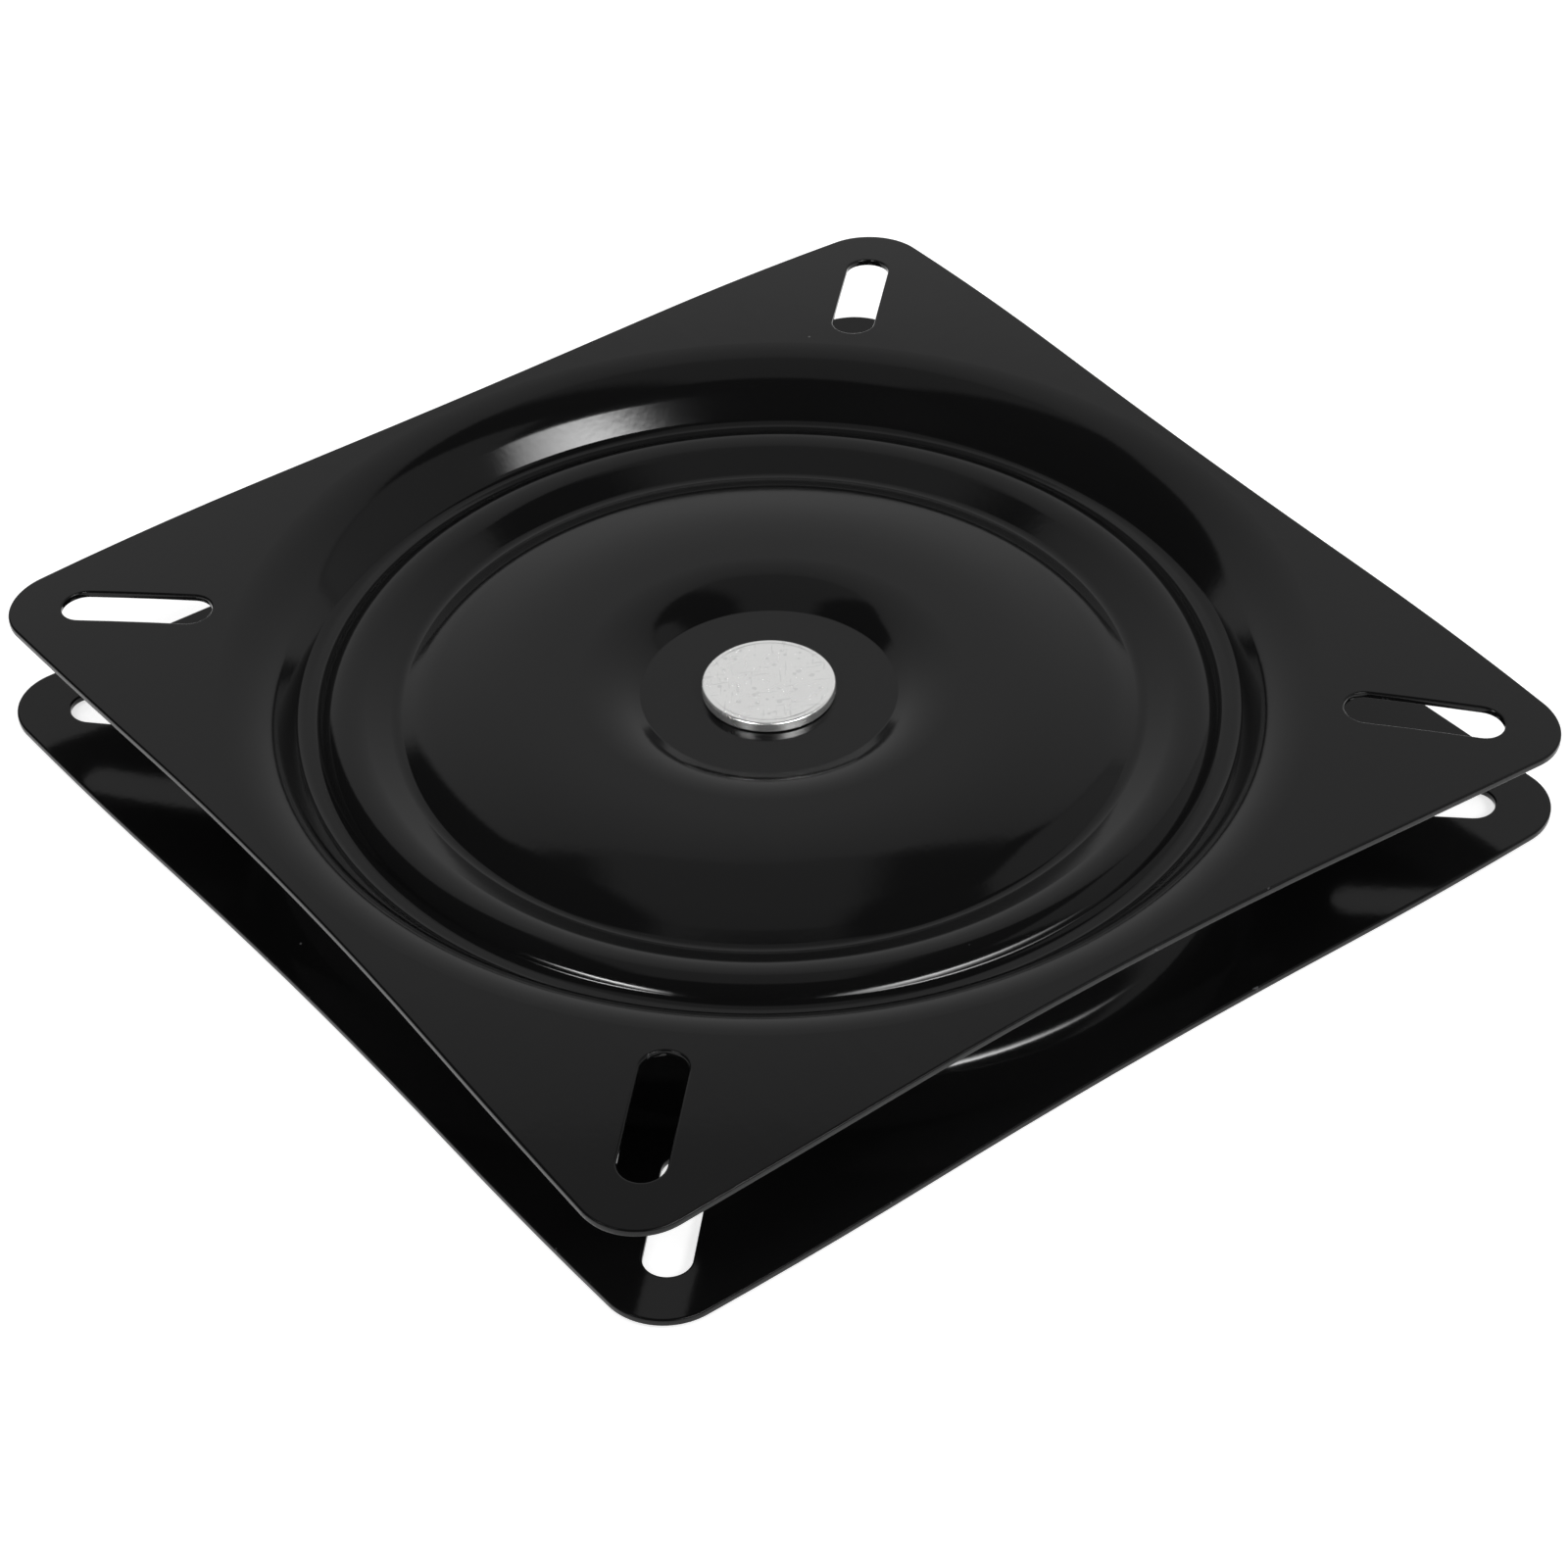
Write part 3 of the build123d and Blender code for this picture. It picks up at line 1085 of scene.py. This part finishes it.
    def add_card(self, card: Card) -> None:
        """Hangs a white card that is clear to all but reflections."""
        sheet, graph = self.add_sheet(card.name, 1.0)
        turn = Matrix.Rotation(math.radians(-card.bearing), 4, "Z")
        upright = Matrix.Rotation(math.radians(90.0 - card.tilt), 4, "X")
        size = Matrix.Diagonal((card.half_width, card.half_height, 1.0, 1.0))
        sheet.matrix_world = self.heading @ Matrix.Translation(card.middle) @ turn @ upright @ size
        sheet.active_material.cycles.emission_sampling = "NONE"
        split = graph.add("ShaderNodeSeparateXYZ")
        graph.feed(split, Vector=graph.add("ShaderNodeTexCoord").outputs["Object"])
        shown = graph.add("ShaderNodeLightPath").outputs["Is Glossy Ray"]
        for axis, half in (("X", card.half_width), ("Y", card.half_height)):
            inside = graph.math("SUBTRACT", 1.0, graph.math("ABSOLUTE", split.outputs[axis]))
            shown = graph.math("MULTIPLY", shown, graph.ramp(inside, 0.0, card.soft / half))
        share = graph.add("ShaderNodeFloatCurve")
        graph.feed(share, Value=graph.math("MULTIPLY_ADD", split.outputs["Y"], 0.5, 0.5))
        ends = share.mapping.curves[0].points
        ends[0].location, ends[1].location = (0.0, card.foot), (1.0, card.head)
        ends.new(card.knee, 1.0)
        share.mapping.update()
        glow = graph.add("ShaderNodeEmission")
        graph.feed(glow, Strength=graph.math("MULTIPLY", share.outputs[0], card.level))
        clear = graph.add("ShaderNodeBsdfTransparent")
        mixed = graph.add("ShaderNodeMixShader")
        graph.feed(mixed, _0=shown, _1=clear.outputs[0], _2=glow.outputs[0])
        graph.feed(graph.add("ShaderNodeOutputMaterial"), Surface=mixed.outputs[0])

    def add_world(self) -> None:
        """Makes a white background that is a dark room in the gloss and an even fill light."""
        world = bpy.data.worlds.new("studio")
        world.use_nodes = True
        bpy.context.scene.world = world
        graph = Graph(world.node_tree)
        paths = graph.add("ShaderNodeLightPath")
        seen = graph.math(
            "MAXIMUM", paths.outputs["Is Camera Ray"], paths.outputs["Is Transmission Ray"]
        )
        room = graph.mix(paths.outputs["Is Glossy Ray"], grey(self.room_fill), grey(self.room_gloss))
        back = graph.add("ShaderNodeBackground")
        graph.feed(back, Color=graph.mix(seen, room, grey(1.0)))
        graph.feed(graph.add("ShaderNodeOutputWorld"), Surface=back.outputs[0])

    def add_lamp(self, lamp: Lamp) -> None:
        """Hangs a soft box that points at the part."""
        data = bpy.data.lights.new(lamp.name, "AREA")
        data.shape = "RECTANGLE"
        data.size, data.size_y = lamp.width, lamp.height
        data.energy = lamp.radiance * math.pi * lamp.width * lamp.height
        bearing = Matrix.Rotation(math.radians(-lamp.bearing), 3, "Z")
        rise = Matrix.Rotation(math.radians(lamp.rise), 3, "X")
        towards = self.heading.to_3x3() @ bearing @ rise @ Vector((0.0, 1.0, 0.0))
        box = bpy.data.objects.new(lamp.name, data)
        box.visible_glossy = False
        box.location = towards * lamp.distance
        box.rotation_mode = "QUATERNION"
        box.rotation_quaternion = towards.to_track_quat("Z", "Y")
        bpy.context.scene.collection.objects.link(box)

    def build(self) -> None:
        """Sets up the floor, world, cards, lamps and camera."""
        bpy.context.scene.view_settings.view_transform = "Standard"
        self.add_camera()
        self.add_floor()
        self.add_world()
        for card in self.cards:
            self.add_card(card)
        for lamp in self.lamps:
            self.add_lamp(lamp)


def dress(piece: bpy.types.Object, material: bpy.types.Material) -> None:
    """Gives every material slot of a piece one material.

    Args:
        piece: Piece or CAD node to dress.
        material: Its material.
    """
    if not piece.material_slots:
        piece.data.materials.append(material)
    for slot in piece.material_slots:
        slot.material = material
    log.info("dressed %s in %s", piece.name, material.name)


def main() -> None:
    """Builds the plates and the rivet, dresses every piece and sets up the studio."""
    logging.basicConfig(level=logging.INFO, format="%(name)s %(message)s")
    effects = Effects()
    paint = GlossPaint().material(effects)
    zinc = PlainMetal(
        "zinc",
        colour=(0.95, 0.95, 0.94),
        dull=(0.72, 0.72, 0.72),
        roughness=0.2,
        spread=0.1,
        metallic=0.8,
    ).material(effects)
    steel = PlainMetal(
        "ball_steel",
        colour=(0.72, 0.72, 0.73),
        dull=(0.6, 0.6, 0.6),
        roughness=0.06,
        spread=0.04,
    ).material(effects)
    nylon = MouldedPlastic(
        "nylon", colour=(0.78, 0.77, 0.72), shade=(0.7, 0.68, 0.62), roughness=0.45
    ).material(effects)
    moulding = MouldedPlastic(
        "cage_moulding", colour=(0.05, 0.05, 0.055), shade=(0.035, 0.035, 0.04), roughness=0.5
    ).material(effects)
    dish = DishSection(CAD_BOX[1].z)
    rise = RiseSection(dish)
    top = PressedPlate("upper_plate", "top_plate", Body.TOP, dish.corners(), REST_TURN, UPPER_SAG)
    bottom = PressedPlate("lower_plate", "bottom_plate", Body.BOTTOM, rise.corners(), 0.0, LOWER_SAG)
    dress(top.build(), paint)
    dress(bottom.build(), paint)
    dress(Rivet().build(), zinc)
    for name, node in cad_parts.items():
        if name.startswith("ball_") and name != "ball_cage":
            dress(node, steel)
    dress(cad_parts["ball_cage"], moulding)
    dress(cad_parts["thrust_washer"], nylon)
    dress(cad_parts["tail_washer"], zinc)
    Studio().build()


if __name__ == "__main__":
    main()
